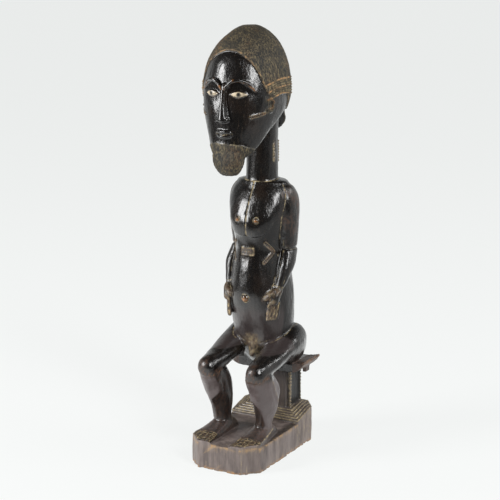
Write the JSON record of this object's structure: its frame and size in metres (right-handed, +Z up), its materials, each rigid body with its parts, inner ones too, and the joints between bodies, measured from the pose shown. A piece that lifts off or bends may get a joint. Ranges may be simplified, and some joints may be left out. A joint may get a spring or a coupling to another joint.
{
  "type": "male figure",
  "caption": "Carved dark wood figure of a nude man seated on a stool, arms at his sides, on a block base with cut corners.",
  "frame": {"origin": "middle of the base's flat underside", "axes": "+Z up the figure, -Y the way the figure faces, +X to the figure's left"},
  "size_m": [0.102, 0.164, 0.5],
  "materials": {
    "patinated_wood": "near-black polished patina with worn edges"
  },
  "bodies": {
    "root": {"figure": "patinated_wood"}
  },
  "joints": []
}
